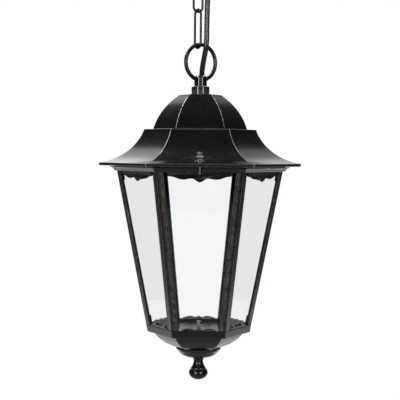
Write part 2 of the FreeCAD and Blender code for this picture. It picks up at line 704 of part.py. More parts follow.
def main():
    os.makedirs("parts", exist_ok=True)

    save("ceiling_bracket", ceiling_bracket())
    save("canopy", canopy())
    save("ceiling_hook", ceiling_hook())
    save("hook_nuts", *hook_nuts())
    save("cable_bush", cable_bush())
    save("ceiling_terminals", ceiling_terminals())
    save("link_upper", chain_link(UPPER_BOTTOM, RING_DIR))
    save("link_lower", chain_link(LOWER_BOTTOM, LINK_DIR))
    save("hanging_ring", hanging_ring())

    save("suspension_post", suspension_post())
    save("post_nut", *post_nut())
    save("roof_dome", roof_dome())
    save("roof_skirt", roof_skirt())
    save("dome_screws", *[screw_up(x, y, 35.2, 40.5, 2.0, 3.6, 2.3) for x, y in dome_screw_places()])
    save("bracket_screws", *[screw_up(x, y, STRAP_LOW, 40.5, 2.0, 3.6, 2.3)
                             for x, y in bracket_screw_places()])
    save("cable_gland", cable_gland())
    save("gland_nut", gland_nut())
    save("thumb_screw_front", thumb_screw(-1))
    save("thumb_screw_rear", thumb_screw(1))
    save("thumb_washers", *thumb_washers())

    save("lamp_bracket", lamp_bracket())
    save("lampholder_body", lampholder_body())
    save("lampholder_shell", lampholder_shell())
    save("lampholder_contact", lampholder_contact())
    save("holder_nipple", *holder_nipple())
    save("terminal_block", terminal_block())
    save("earth_screw", earth_screw(), earth_tag())
    live, neutral, earth = core_wires()
    save("wire_live", *live)
    save("wire_neutral", *neutral)
    save("wire_earth", earth)

    save("crown_ring", crown_ring())
    save("roof_gasket", roof_gasket())
    post, pane = corner_post(), glass_pane()
    for k in range(6):
        save("corner_post_%d" % (k + 1), turned(post, CORNER_ANGLES[k]))
        save("glass_pane_%d" % (k + 1), turned(pane, FACE_ANGLES[k]))
    save("post_screws", *post_screws())
    save("glass_clips", *glass_clips())
    save("clip_screws", *clip_screws())
    save("top_valances", *[turned(top_valance(), a) for a in FACE_ANGLES])
    save("bottom_trims", *[turned(bottom_trim(), a) for a in FACE_ANGLES])
    save("bottom_frame", bottom_frame())
    save("bottom_bowl", bottom_bowl())
    save("bowl_screws", *bowl_screws())
    save("finial_cup", finial_cup())
    save("finial", finial())
    save("finial_nut", *finial_nut())

    for k, stretch in enumerate(cable_stretches()):
        save("power_cable_%d" % (k + 1), stretch)

    shift = -CEILING
    print("roof pivot", RING_BOTTOM + shift, "ring pivot", LOWER_BOTTOM + shift,
          "ring contact", RING_CONTACT + shift, "lower pivot", UPPER_BOTTOM + shift,
          "upper pivot", HOOK_BEND + shift, "chain at", CHAIN)


main()
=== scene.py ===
"""The looks of the hexagonal hanging lantern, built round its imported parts.

Outlines are in millimetres, with heights above the roof's eave, like the drawing of the part itself.
LIFT moves them into the shared frame, where the ceiling is z = 0, and MM makes them metres.
"""
import json
import math

import bmesh
import bpy
from mathutils import Matrix, Vector


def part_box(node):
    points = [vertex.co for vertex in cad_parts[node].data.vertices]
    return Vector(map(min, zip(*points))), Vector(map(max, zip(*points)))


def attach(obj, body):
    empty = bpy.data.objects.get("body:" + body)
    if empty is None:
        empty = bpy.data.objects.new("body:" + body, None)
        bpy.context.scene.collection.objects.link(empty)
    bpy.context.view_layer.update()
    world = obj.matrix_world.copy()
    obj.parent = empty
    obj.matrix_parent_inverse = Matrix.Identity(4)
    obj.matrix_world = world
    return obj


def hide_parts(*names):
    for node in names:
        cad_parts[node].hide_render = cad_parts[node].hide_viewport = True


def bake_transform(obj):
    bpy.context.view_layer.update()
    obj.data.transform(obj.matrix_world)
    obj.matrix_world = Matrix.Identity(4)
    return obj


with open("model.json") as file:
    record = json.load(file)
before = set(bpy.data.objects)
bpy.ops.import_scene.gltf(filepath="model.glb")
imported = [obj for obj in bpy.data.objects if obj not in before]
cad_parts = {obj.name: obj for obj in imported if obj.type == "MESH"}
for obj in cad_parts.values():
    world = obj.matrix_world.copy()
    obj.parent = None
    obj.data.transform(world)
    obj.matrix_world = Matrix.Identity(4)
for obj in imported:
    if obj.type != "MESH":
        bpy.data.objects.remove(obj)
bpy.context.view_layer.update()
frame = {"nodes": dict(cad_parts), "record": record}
scene = bpy.context.scene

MM = 0.001
EAVE_LIP = 1.9                     # the skirt's lowest edge is this far below the eave line
LIFT = Vector((0, 0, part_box("roof_skirt")[0].z + EAVE_LIP * MM))
COS30 = math.cos(math.pi / 6)
CORNERS = [60 * k for k in range(6)]
SIDES = [30 + 60 * k for k in range(6)]


def height(z):
    """A height in the shared frame, in metres, from one above the eave in millimetres."""
    return LIFT.z + z * MM


def drawn(point):
    """A point of the shared frame in the outlines' own millimetres."""
    return (Vector(point) - LIFT) / MM


# ---------------------------------------------------------------- camera, floor and light

CAMERA_AWAY, CAMERA_UP = 1.30, 13.0     # metres in front of the axis, millimetres above the eave
CAMERA_PITCH, CAMERA_ROLL, CAMERA_ASIDE = 2.29, 0.45, 0.0004
LENS = 107.4


def add_camera():
    data = bpy.data.cameras.new("camera")
    data.lens, data.sensor_width = LENS, 36.0
    camera = bpy.data.objects.new("camera", data)
    scene.collection.objects.link(camera)
    place = Matrix.Translation((CAMERA_ASIDE, -CAMERA_AWAY, height(CAMERA_UP)))
    aim = Matrix.Rotation(math.radians(90 - CAMERA_PITCH), 4, "X")
    camera.matrix_world = place @ aim @ Matrix.Rotation(math.radians(CAMERA_ROLL), 4, "Z")
    scene.camera = camera


def softbox(name, place, target, size, power, along=None):
    """An area light that shows in reflections, but not as an object in the view.

    Its first size lies level, or in the direction along.
    """
    data = bpy.data.lights.new(name, "AREA")
    data.shape, data.size, data.size_y = "RECTANGLE", size[0], size[1]
    data.energy = power
    light = bpy.data.objects.new(name, data)
    scene.collection.objects.link(light)
    light.location = place
    back = (Vector(place) - Vector(target)).normalized()
    level = Vector(along) if along else Vector((0, 0, 1)).cross(back)
    level = (level - back * level.dot(back)).normalized()
    light.rotation_euler = Matrix((level, back.cross(level), back)).transposed().to_euler()
    light.visible_camera = False


def add_world():
    """White where it is seen, soft ambient light, and a dim studio in reflections."""
    world = bpy.data.worlds.new("studio")
    world.use_nodes = True
    scene.world = world
    tree = world.node_tree
    tree.nodes.clear()
    path = tree.nodes.new("ShaderNodeLightPath")
    seen, ambient, reflected = [tree.nodes.new("ShaderNodeBackground") for _ in range(3)]
    seen.inputs["Strength"].default_value = 1.0
    seen.inputs["Color"].default_value = (1, 1, 1, 1)
    ambient.inputs["Color"].default_value = (0.95, 0.97, 1.0, 1)
    ambient.inputs["Strength"].default_value = 0.3
    reflected.inputs["Color"].default_value = (0.9, 0.95, 1.0, 1)
    reflected.inputs["Strength"].default_value = 0.02
    inner, outer = [tree.nodes.new("ShaderNodeMixShader") for _ in range(2)]
    output = tree.nodes.new("ShaderNodeOutputWorld")
    tree.links.new(path.outputs["Is Diffuse Ray"], inner.inputs["Fac"])
    tree.links.new(reflected.outputs[0], inner.inputs[1])
    tree.links.new(ambient.outputs[0], inner.inputs[2])
    tree.links.new(path.outputs["Is Camera Ray"], outer.inputs["Fac"])
    tree.links.new(inner.outputs[0], outer.inputs[1])
    tree.links.new(seen.outputs[0], outer.inputs[2])
    tree.links.new(outer.outputs[0], output.inputs["Surface"])


def add_studio():
    centre = (0, 0, height(-40))
    softbox("backdrop_low", (0, 2.0, height(600)), (0, 0, height(600)), (2.6, 0.5), 2.6)
    softbox("backdrop", (0, 2.02, height(450)), (0, 0, height(450)), (2.6, 2.6), 7.6)
    softbox("backdrop_left", (-0.65, 2.04, height(1050)), (-0.65, 0, height(1050)), (1.3, 1.4), 2.8)
    softbox("bounce_back", (0, 1.6, height(-990)), (0, 1.6, 0), (5.0, 1.8), 24.0, along=(1, 0, 0))
    softbox("bounce_front", (0, -0.6, height(-990)), (0, -0.6, 0), (2.6, 2.3), 5.0, along=(1, 0, 0))
    softbox("front", (0, -2.4, height(500)), centre, (2.0, 0.38), 3.3)
    softbox("strip_left", (-1.25, -1.85, height(150)), centre, (0.34, 1.5), 20.0)
    softbox("strip_right", (1.25, -1.85, height(150)), centre, (0.28, 1.5), 14.0)
    for name, side, power in (("rim_left", -1, 70.0), ("rim_right", 1, 30.0)):
        softbox(name, (side * 1.15, 0.1, height(1750)), (0, 0, height(30)), (2.2, 0.3), power,
                along=(-side * 0.81, 1.6, 0.5))
    mesh = bpy.data.meshes.new("floor")
    reach, low = 3.4, height(-1000)
    corners = [(-reach, -reach, low), (reach, -reach, low), (reach, reach, low), (-reach, reach, low)]
    mesh.from_pydata(corners, [], [(0, 1, 2, 3)])
    floor = bpy.data.objects.new("floor", mesh)
    scene.collection.objects.link(floor)
    mesh.materials.append(floor_paint())
    floor.visible_glossy = False


# ---------------------------------------------------------------- materials

class Paint:
    """A material with one Principled shader, and short ways to give its sockets a pattern."""

    def __init__(self, name, colour, roughness, **sockets):
        self.material = bpy.data.materials.new(name)
        self.material.use_nodes = True
        self.tree = self.material.node_tree
        self.shader = self.tree.nodes["Principled BSDF"]
        self.drive("Base Color", colour)
        self.drive("Roughness", roughness)
        for socket, value in sockets.items():
            self.drive(socket.replace("_", " "), value)
        self.place = self.tree.nodes.new("ShaderNodeTexCoord").outputs["Object"]

    def drive(self, socket, value):
        """Gives one of the shader's sockets a pattern, a number or a colour."""
        self.feed(self.shader.inputs[socket], value)

    def feed(self, socket, value):
        if isinstance(value, bpy.types.NodeSocket):
            self.tree.links.new(value, socket)
        elif socket.type == "RGBA":
            socket.default_value = (*value, 1.0)
        else:
            socket.default_value = value

    def node(self, kind, **inputs):
        node = self.tree.nodes.new("ShaderNode" + kind)
        for name, value in inputs.items():
            self.feed(node.inputs[name.replace("_", " ")], value)
        return node

    def noise(self, size, detail=3.0, stretch=(1, 1, 1)):
        """Noise with grains about size metres wide."""
        spread = self.node("Mapping", Vector=self.place, Scale=stretch).outputs["Vector"]
        return self.node("TexNoise", Vector=spread, Scale=1 / size, Detail=detail,
                         Roughness=0.55).outputs["Fac"]

    def spread(self, source, low, high, start=0.3, end=0.7):
        """source from start to end, as a number from low to high."""
        return self.node("MapRange", Value=source, From_Min=start, From_Max=end, To_Min=low,
                         To_Max=high).outputs["Result"]

    def sum(self, first, second, way="ADD"):
        """Two values added, or joined by another of the Math node's ways."""
        node = self.tree.nodes.new("ShaderNodeMath")
        node.operation = way
        for socket, value in zip(node.inputs, (first, second)):
            self.feed(socket, value)
        return node.outputs[0]

    def blend(self, share, first, second):
        """A colour between two others."""
        node = self.tree.nodes.new("ShaderNodeMix")
        node.data_type = "RGBA"
        a, b = [s for s in node.inputs if s.name in "AB" and s.type == "RGBA"]
        for socket, value in ((node.inputs[0], share), (a, first), (b, second)):
            self.feed(socket, value)
        return [s for s in node.outputs if s.type == "RGBA"][0]

    def edge(self):
        """How near a point is to a rounded edge of its piece, from 0 to 1."""
        node = self.tree.nodes.new("ShaderNodeAttribute")
        node.attribute_name = "edge"
        return node.outputs["Fac"]

    def bump(self, *layers):
        """Bumps in a chain: each layer is (pattern, strength, depth in metres)."""
        normal = None
        for pattern, strength, depth in layers:
            node = self.node("Bump", Height=pattern, Strength=strength, Distance=depth)
            if normal:
                self.tree.links.new(normal, node.inputs["Normal"])
            normal = node.outputs["Normal"]
        self.drive("Normal", normal)


def black_casting(name, roughness=0.22, coat=0.3):
    """Satin black powder paint on a casting: orange peel, slow waves, and lighter edges, partly rubbed
    paint and mostly a painted highlight along the ridges.
    """
    paint = Paint(name, (0.004, 0.0036, 0.0034), roughness, Coat_Weight=coat, Coat_Roughness=0.12)
    cloud, grain = paint.noise(0.045, 4), paint.noise(0.0016, 2)
    shade = paint.blend(paint.spread(cloud, 0, 1), (0.0032, 0.003, 0.0029), (0.005, 0.0043, 0.0039))
    # Lighter colour on the edges: partly rubbed paint, mostly a painted highlight that stands for the shine
    # along the ridges.
    highlight_and_rubbed = paint.sum(paint.edge(), paint.spread(paint.noise(0.004, 3), 0.1, 0.75), "MULTIPLY")
    paint.drive("Base Color", paint.blend(highlight_and_rubbed, shade, (0.34, 0.31, 0.285)))
    rough = paint.spread(paint.noise(0.012, 5), roughness - 0.02, roughness + 0.03)
    rough = paint.sum(rough, paint.spread(grain, -0.004, 0.008))
    paint.drive("Roughness", paint.sum(rough, paint.sum(paint.edge(), -0.08, "MULTIPLY")))
    paint.bump((paint.noise(0.03, 2), 0.05, 0.0005), (paint.noise(0.003, 1), 0.01, 0.0001))
    return paint.material


def gloss_black(name):
    """Turned parts under gloss black, with the faint rings that the lathe leaves."""
    roughness = 0.13
    paint = Paint(name, (0.006, 0.0055, 0.0052), roughness, Coat_Weight=0.5, Coat_Roughness=0.08)
    rings = paint.noise(0.0012, 2, (0.05, 0.05, 1))
    paint.drive("Roughness", paint.spread(paint.noise(0.006, 4), roughness - 0.03, roughness + 0.07))
    shade = paint.blend(paint.spread(paint.noise(0.01, 3), 0, 1), (0.005, 0.0047, 0.0045),
                        (0.009, 0.008, 0.0074))
    # Lighter colour on the edges: partly rubbed paint, partly a painted highlight.
    highlight_and_worn = paint.sum(paint.edge(), paint.spread(paint.noise(0.002, 3), 0.0, 0.8), "MULTIPLY")
    paint.drive("Base Color", paint.blend(highlight_and_worn, shade, (0.5, 0.45, 0.39)))
    paint.bump((rings, 0.03, 0.00002), (paint.noise(0.006, 1), 0.03, 0.0001))
    return paint.material


def dark_steel(name):
    """Chain wire in black nickel, rubbed brighter in patches."""
    paint = Paint(name, (0.04, 0.037, 0.035), 0.24, Metallic=0.9, Coat_Weight=0.15, Coat_Roughness=0.15)
    patches = paint.spread(paint.noise(0.006, 5), 0, 1)
    paint.drive("Base Color", paint.blend(patches, (0.022, 0.02, 0.019), (0.06, 0.055, 0.05)))
    paint.drive("Roughness", paint.spread(paint.noise(0.0025, 4), 0.18, 0.3))
    paint.bump((paint.noise(0.0012, 3), 0.05, 0.0001), (paint.noise(0.008, 2), 0.1, 0.0004))
    return paint.material


def zinc(name):
    """Bright zinc plate with a grey bloom."""
    paint = Paint(name, (0.58, 0.58, 0.57), 0.34, Metallic=1.0)
    bloom = paint.spread(paint.noise(0.005, 5), 0, 1)
    paint.drive("Base Color", paint.blend(bloom, (0.42, 0.42, 0.41), (0.66, 0.65, 0.62)))
    paint.drive("Roughness", paint.spread(paint.noise(0.0015, 3), 0.26, 0.46))
    paint.bump((paint.noise(0.0008, 3), 0.1, 0.0001))
    return paint.material


def brass(name):
    """Bare brass, tarnished in patches."""
    paint = Paint(name, (0.72, 0.52, 0.22), 0.28, Metallic=1.0)
    tarnish = paint.spread(paint.noise(0.004, 5), 0, 1)
    paint.drive("Base Color", paint.blend(tarnish, (0.46, 0.31, 0.12), (0.78, 0.58, 0.27)))
    paint.drive("Roughness", paint.spread(paint.noise(0.002, 4), 0.2, 0.42))
    paint.bump((paint.noise(0.001, 3), 0.1, 0.0001))
    return paint.material


def porcelain(name):
    """White glaze, a little uneven, with grey specks."""
    paint = Paint(name, (0.83, 0.82, 0.78), 0.12, Coat_Weight=0.6, Coat_Roughness=0.05)
    specks = paint.spread(paint.noise(0.0012, 1), 0, 1, 0.7, 0.78)
    body = paint.blend(paint.spread(paint.noise(0.02, 3), 0, 1), (0.8, 0.79, 0.74), (0.87, 0.86, 0.83))
    paint.drive("Base Color", paint.blend(specks, body, (0.5, 0.46, 0.4)))
    paint.drive("Roughness", paint.spread(paint.noise(0.01, 3), 0.08, 0.2))
    paint.bump((paint.noise(0.009, 2), 0.15, 0.0004))
    return paint.material


def moulded(name, colour, roughness):
    """Moulded plastic or rubber: a fine spark texture over a slow unevenness."""
    paint = Paint(name, colour, roughness)
    light = tuple(min(1.0, c * 1.25 + 0.004) for c in colour)
    paint.drive("Base Color", paint.blend(paint.spread(paint.noise(0.007, 4), 0, 1), colour, light))
    paint.drive("Roughness", paint.spread(paint.noise(0.003, 4), roughness - 0.08, roughness + 0.1))
    paint.bump((paint.noise(0.0007, 2), 0.2, 0.00012), (paint.noise(0.01, 2), 0.1, 0.0003))
    return paint.material


def cable_sheath(name):
    """Dark PVC sheath with drawn streaks along it and a soft shine."""
    paint = Paint(name, (0.014, 0.012, 0.011), 0.26, Coat_Weight=0.8, Coat_Roughness=0.14)
    streaks = paint.noise(0.0014, 3, (1, 1, 0.06))
    paint.drive("Base Color", paint.blend(paint.spread(streaks, 0, 1), (0.01, 0.0088, 0.008),
                                          (0.02, 0.0175, 0.016)))
    paint.drive("Roughness", paint.spread(paint.noise(0.004, 4), 0.2, 0.32))
    paint.bump((streaks, 0.06, 0.0001), (paint.noise(0.0009, 2), 0.02, 0.0001))
    return paint.material


def clear_glass(name):
    """Thin float glass: what is behind shows straight through it, under a clean reflection."""
    material = bpy.data.materials.new(name)
    material.use_nodes = True
    tree = material.node_tree
    tree.nodes.clear()

    def node(kind):
        return tree.nodes.new("ShaderNode" + kind)
    place, smear, rough = node("TexCoord"), node("TexNoise"), node("MapRange")
    tree.links.new(place.outputs["Object"], smear.inputs["Vector"])
    smear.inputs["Scale"].default_value = 28.0
    smear.inputs["Detail"].default_value = 5.0
    tree.links.new(smear.outputs["Fac"], rough.inputs["Value"])
    rough.inputs["From Min"].default_value, rough.inputs["From Max"].default_value = 0.35, 0.75
    rough.inputs["To Min"].default_value, rough.inputs["To Max"].default_value = 0.01, 0.03
    wave, bump = node("TexNoise"), node("Bump")
    tree.links.new(place.outputs["Object"], wave.inputs["Vector"])
    wave.inputs["Scale"].default_value = 14.0
    bump.inputs["Strength"].default_value, bump.inputs["Distance"].default_value = 0.01, 0.0004
    tree.links.new(wave.outputs["Fac"], bump.inputs["Height"])
    clear, shine, fresnel = node("BsdfTransparent"), node("BsdfGlossy"), node("Fresnel")
    mix, behind, front, outside = node("MixShader"), node("NewGeometry"), node("Math"), node("Math")
    front.operation, outside.operation = "SUBTRACT", "MULTIPLY"
    front.inputs[0].default_value = 1.0
    tree.links.new(behind.outputs["Backfacing"], front.inputs[1])
    tree.links.new(fresnel.outputs[0], outside.inputs[0])
    tree.links.new(front.outputs[0], outside.inputs[1])
    clear.inputs["Color"].default_value = (0.984, 0.986, 0.988, 1)
    tree.links.new(rough.outputs["Result"], shine.inputs["Roughness"])
    tree.links.new(bump.outputs["Normal"], shine.inputs["Normal"])
    fresnel.inputs["IOR"].default_value = 1.45
    tree.links.new(outside.outputs[0], mix.inputs["Fac"])
    tree.links.new(clear.outputs[0], mix.inputs[1])
    tree.links.new(shine.outputs[0], mix.inputs[2])
    output = node("OutputMaterial")
    tree.links.new(mix.outputs[0], output.inputs["Surface"])
    return material


def floor_paint():
    paint = Paint("floor_paint", (0.82, 0.82, 0.81), 0.6)
    paint.drive("Base Color", paint.blend(paint.spread(paint.noise(0.4, 3), 0, 1), (0.8, 0.8, 0.79),
                                          (0.84, 0.84, 0.83)))
    return paint.material


MATERIALS = {
    "casting_black": black_casting("casting_black"),
    "gloss_black_steel": gloss_black("gloss_black_steel"),
    "chain_steel": dark_steel("chain_steel"),
    "canopy_black": black_casting("canopy_black", 0.3, 0.2),
    "zinc_steel": zinc("zinc_steel"),
    "clear_glass": clear_glass("clear_glass"),
    "black_rubber": moulded("black_rubber", (0.02, 0.019, 0.018), 0.6),
    "cable_sheath": cable_sheath("cable_sheath"),
    "gland_plastic": moulded("gland_plastic", (0.018, 0.017, 0.017), 0.38),
    "porcelain": porcelain("porcelain"),
    "brass": brass("brass"),
    "terminal_plastic": moulded("terminal_plastic", (0.78, 0.76, 0.7), 0.4),
    "live_brown": moulded("live_brown", (0.13, 0.05, 0.025), 0.4),
    "neutral_blue": moulded("neutral_blue", (0.03, 0.09, 0.36), 0.4),
    "earth_green": moulded("earth_green", (0.07, 0.3, 0.05), 0.4),
}
SLOT_OF = {s["node"]: s["material_slot"] for s in frame["record"]["subparts"]}


# ---------------------------------------------------------------- outlines

def circle_of(start, middle, end):
    """Centre and radius of the circle through three points of an outline."""
    (ax, ay), (bx, by), (cx, cy) = start, middle, end
    d = 2 * (ax * (by - cy) + bx * (cy - ay) + cx * (ay - by))
    a2, b2, c2 = ax * ax + ay * ay, bx * bx + by * by, cx * cx + cy * cy
    ux = (a2 * (by - cy) + b2 * (cy - ay) + c2 * (ay - by)) / d
    uy = (a2 * (cx - bx) + b2 * (ax - cx) + c2 * (bx - ax)) / d
    return ux, uy, math.dist(start, (ux, uy))


def arc(start, middle, end, steps=12):
    """Points after start, up to end, on the circle through the three."""
    ux, uy, radius = circle_of(start, middle, end)
    first, mid, last = [math.atan2(y - uy, x - ux) for x, y in (start, middle, end)]
    turn, via = (last - first) % math.tau, (mid - first) % math.tau
    if via > turn:
        turn -= math.tau
    angles = [first + turn * k / steps for k in range(1, steps + 1)]
    return [(ux + radius * math.cos(a), uy + radius * math.sin(a)) for a in angles]


def inner_arc(start, middle, end, wall):
    """Gives the points (x, z), at a height z, of the wall's inner line under a bulging arc."""
    ux, uy, radius = circle_of(start, middle, end)
    return lambda z: (ux + math.sqrt((radius - wall) ** 2 - (z - uy) ** 2), z)


def outline(start, *steps, arc_steps=12):
    """Points of an outline. A step is a point, or an arc ((middle), (end))."""
    points = [start]
    for step in steps:
        if isinstance(step[0], tuple):
            points += arc(points[-1], step[0], step[1], arc_steps)
        else:
            points.append(step)
    return points


def softened(points, radius, closed=True):
    """The outline with its sharp corners rounded: (x, z, edge), where edge is 1 on a rounding.

    A guard point on each side of a rounding keeps the lighter edge colour narrow: rubbed paint and a
    painted highlight.
    """
    sharp, guard, steps = math.radians(24), 0.7, 3
    made, count = [], len(points)
    for i, here in enumerate(points):
        if not closed and i in (0, count - 1):
            made.append((*here, 0.0))
            continue
        here = Vector(here)
        back, on = Vector(points[i - 1]) - here, Vector(points[(i + 1) % count]) - here
        turn = math.pi - back.angle(on, math.pi)
        if turn < sharp:
            made.append((*here, 0.0))
            continue
        room = 0.42 * min(back.length, on.length)
        cut = min(radius * math.tan(turn / 2), room)
        ahead, behind = here + on.normalized() * cut, here + back.normalized() * cut
        rim = min(guard, room - cut)
        if rim > 0.05:
            made.append((*(behind + back.normalized() * rim), 0.0))
        for k in range(steps + 1):
            t = k / steps
            bow = behind * (1 - t) ** 2 + here * 2 * t * (1 - t) + ahead * t * t
            made.append((*bow, 1.0))
        if rim > 0.05:
            made.append((*(ahead + on.normalized() * rim), 0.0))
    return made


# ---------------------------------------------------------------- meshes

SAME_POINT = 1e-7                  # vertices this close, in metres, are one
SHARP_EDGE, BEVEL_EDGE = math.radians(38), math.radians(32)
NODE_BODY = {n: body for body, nodes in frame["record"]["behaviour"]["bodies"].items() for n in nodes}


class Shape:
    """Closed skins in the drawing's millimetres, with each vertex's share of the lighter edge colour:
    rubbed paint and a painted highlight.
    """

    def __init__(self):
        self.points, self.edge, self.faces = [], [], []

    def skin(self, columns, round_again=True, closed_outline=True):
        """Quads over columns of (x, y, z, edge) that go round the piece."""
        first, wide, tall = len(self.points), len(columns), len(columns[0])
        for column in columns:
            self.points += [Vector(p[:3]) for p in column]
            self.edge += [p[3] for p in column]
        for i in range(wide if round_again else wide - 1):
            for j in range(tall if closed_outline else tall - 1):
                a, b = (i % wide) * tall, ((i + 1) % wide) * tall
                up = (j + 1) % tall
                self.faces.append([first + a + j, first + b + j, first + b + up, first + a + up])
        return first, wide, tall

    def prism(self, rings):
        """A bar through rings of (x, y, z, edge), with both ends closed."""
        first, wide, tall = self.skin(rings, round_again=False)
        last = first + (wide - 1) * tall
        self.faces.append([first + k for k in range(tall)])
        self.faces.append([last + k for k in reversed(range(tall))])
        return self

    def lathe(self, points, radius=0.4, closed=True, at=(0, 0), sides=96, wave=None):
        """The outline of (r, z) turned about an upright axis. wave(angle, r, z) changes r."""
        profile = softened(points, radius, closed)
        columns = []
        for k in range(sides):
            a = math.tau * k / sides
            column = []
            for r, z, edge in profile:
                far = r if wave is None else wave(a, r, z)
                column.append((at[0] + far * math.cos(a), at[1] + far * math.sin(a), z, edge))
            columns.append(column)
        self.skin(columns, closed_outline=closed)
        return self

    def hexed(self, points, radius=0.5):
        """A six-sided casting: its outline is (distance to the side, z), its ridges rounded."""
        ridge, guard_width, lip_highlight_and_wear, steps = 0.9, 1.1, 0.2, 4
        profile = softened(points, radius)
        columns = []
        for corner in CORNERS:
            middle = math.radians(corner)
            for k in range(-1, steps + 2):
                share = min(max(k, 0), steps) / steps
                angle = middle + math.radians(60 * share - 30)
                out, along = Vector((math.cos(angle), math.sin(angle))), (k > steps) - (k < 0)
                column = []
                for a, z, edge in profile:
                    r = min(ridge, 0.3 * a)
                    guard = along * min(guard_width, 0.2 * a)
                    centre = Vector((math.cos(middle), math.sin(middle))) * ((a - r) / COS30)
                    p = centre + out * r + Vector((-out.y, out.x)) * guard
                    # The ridges take the full lighter edge colour, and the outline's roundings a part of
                    # it: a painted highlight, partly rubbed paint.
                    highlight_and_worn = max(lip_highlight_and_wear * edge, 1.0 if 0 < k < steps else 0.0)
                    column.append((p.x, p.y, z, highlight_and_worn))
                columns.append(column)
        self.skin(columns)
        return self

    def sweep(self, points, radius, loop=False, sides=24):
        """A round bar along a row of points. radius is a number, or a list with one for each."""
        count, side, rings = len(points), None, []
        points = [Vector(p) for p in points]
        for i, here in enumerate(points):
            back = points[i - 1] if i or loop else here
            on = points[(i + 1) % count] if i < count - 1 or loop else here
            along = (on - back).normalized()
            side = along.orthogonal() if side is None else side - along * side.dot(along)
            side = side.normalized()
            up = along.cross(side)
            wide = radius if isinstance(radius, float) else radius[i]
            angles = [math.tau * k / sides for k in range(sides)]
            rings.append([(*(here + (side * math.cos(a) + up * math.sin(a)) * wide), 0.0) for a in angles])
        if loop:
            self.skin(rings)
        else:
            self.prism(rings)
        return self

    def plate(self, place, thick, points):
        """A flat plate: its outline (u, v) goes where place(u, v, depth) puts it."""
        rim = softened(points, 0.3)
        self.prism([[(*place(u, v, depth), edge) for u, v, edge in rim] for depth in (0.0, thick)])
        return self

    def turned(self, angle):
        """A copy turned about the lantern's axis."""
        copy = Shape()
        spin = Matrix.Rotation(math.radians(angle), 3, "Z")
        copy.points = [spin @ p for p in self.points]
        copy.edge, copy.faces = list(self.edge), [list(f) for f in self.faces]
        return copy

    def joined(self, *others):
        for other in others:
            first = len(self.points)
            self.points += other.points
            self.edge += other.edge
            self.faces += [[first + i for i in f] for f in other.faces]
        return self

    def six(self):
        """Six copies, one for each side or corner."""
        return Shape().joined(*[self.turned(60 * k) for k in range(6)])

    def placed(self, name, highlight_and_wear=0.0):
        """An object with this shape, in the shared frame, with every skin facing outwards."""
        mesh = bpy.data.meshes.new(name)
        mesh.from_pydata([p * MM + LIFT for p in self.points], [], self.faces)
        # The edge share that the materials paint lighter: rubbed paint and a painted highlight.
        highlight_and_worn = mesh.attributes.new("edge", "FLOAT", "POINT")
        highlight_and_worn.data.foreach_set("value", [highlight_and_wear * edge for edge in self.edge])
        work = bmesh.new()
        work.from_mesh(mesh)
        bmesh.ops.remove_doubles(work, verts=work.verts, dist=SAME_POINT)
        bmesh.ops.dissolve_degenerate(work, edges=work.edges, dist=SAME_POINT)
        bmesh.ops.recalc_face_normals(work, faces=work.faces)
        work.to_mesh(mesh)
        work.free()
        made = bpy.data.objects.new(name, mesh)
        scene.collection.objects.link(made)
        return made

    def build(self, name, node, bevel=0.0, highlight_and_wear=0.25, holes=(), rides=True):
        """The object, standing for a CAD node: on its body, with its slot and material.

        The factor for its edges sets how much of the lighter edge colour they take, partly rubbed paint and
        partly a painted highlight; holes are bars (start, end, radius) cut out of it.
        """
        made = self.placed(name, highlight_and_wear)
        mesh = made.data
        if holes:
            mesh = drilled(made, holes)
        mesh.polygons.foreach_set("use_smooth", [True] * len(mesh.polygons))
        if bevel:
            add_bevel(made, bevel)
        else:
            mesh.set_sharp_from_angle(angle=SHARP_EDGE)
        made.modifiers.new("normals", "WEIGHTED_NORMAL").keep_sharp = True
        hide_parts(node)
        if rides:
            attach(made, NODE_BODY[node])
        mesh.materials.append(MATERIALS[SLOT_OF[node]])
        return made


def add_bevel(piece, width):
    bevel = piece.modifiers.new("bevel", "BEVEL")
    bevel.width, bevel.segments = width * MM, 3
    bevel.limit_method, bevel.angle_limit = "ANGLE", BEVEL_EDGE
    bevel.use_clamp_overlap = True


def drilled(piece, holes):
    """Cuts round holes out of a piece for good, and gives back its new mesh."""
    bars = Shape()
    for start, end, radius in holes:
        bars.sweep([start, end], radius, sides=48)
    cutter = bars.placed("cutter")
    cut = piece.modifiers.new("holes", "BOOLEAN")
    cut.operation, cut.solver, cut.object = "DIFFERENCE", "EXACT", cutter
    bpy.context.view_layer.update()
    done = bpy.data.meshes.new_from_object(piece.evaluated_get(bpy.context.evaluated_depsgraph_get()))
    piece.modifiers.remove(cut)
    piece.data = done
    bpy.data.objects.remove(cutter)
    return done


def hexagon(across):
    """Keeps a lathe's outline inside a hexagon, so that a chamfered ring becomes a nut."""
    def limit(angle, r, z):
        return min(r, across / 2 / math.cos(angle % math.radians(60) - math.radians(30)))
    return limit


def nut(across, low, high, bore, at=(0, 0)):
    """The chamfered ring that hexagon() turns into a nut."""
    far, slope = across / 2 / COS30, 0.07 * across
    return Shape().lathe([
        (bore + 0.3, low), (far - slope, low), (far, low + slope * 0.6), (far, high - slope * 0.6),
        (far - slope, high), (bore + 0.3, high), (bore, high - 0.3), (bore, low + 0.3)],
        0.1, at=at, wave=hexagon(across))


def washer(radius, bore, low, high, at=(0, 0)):
    return Shape().lathe([(bore, low), (radius, low), (radius, high), (bore, high)], 0.15, at=at)


# ---------------------------------------------------------------- roof

EAVE_R, LEDGE_R, LEDGE_Z = 110.0, 61.6, 37.8
DOME_R, DOME_TOP_R, DOME_TOP = 51.3, 24.8, 75.3
SCREW_AT, SCREW_BORE, GLAND_AT = 89.0, 2.06, (1.25, 15.4)
RING_ANGLE, RING_R, RING_WIRE, RING_Z = math.radians(34), 19.2, 2.125, 110.4
RING_DIR = Vector((math.cos(RING_ANGLE), math.sin(RING_ANGLE), 0))
LINK_DIR = Vector((RING_DIR.y, -RING_DIR.x, 0))
CABLE_R = 2.9


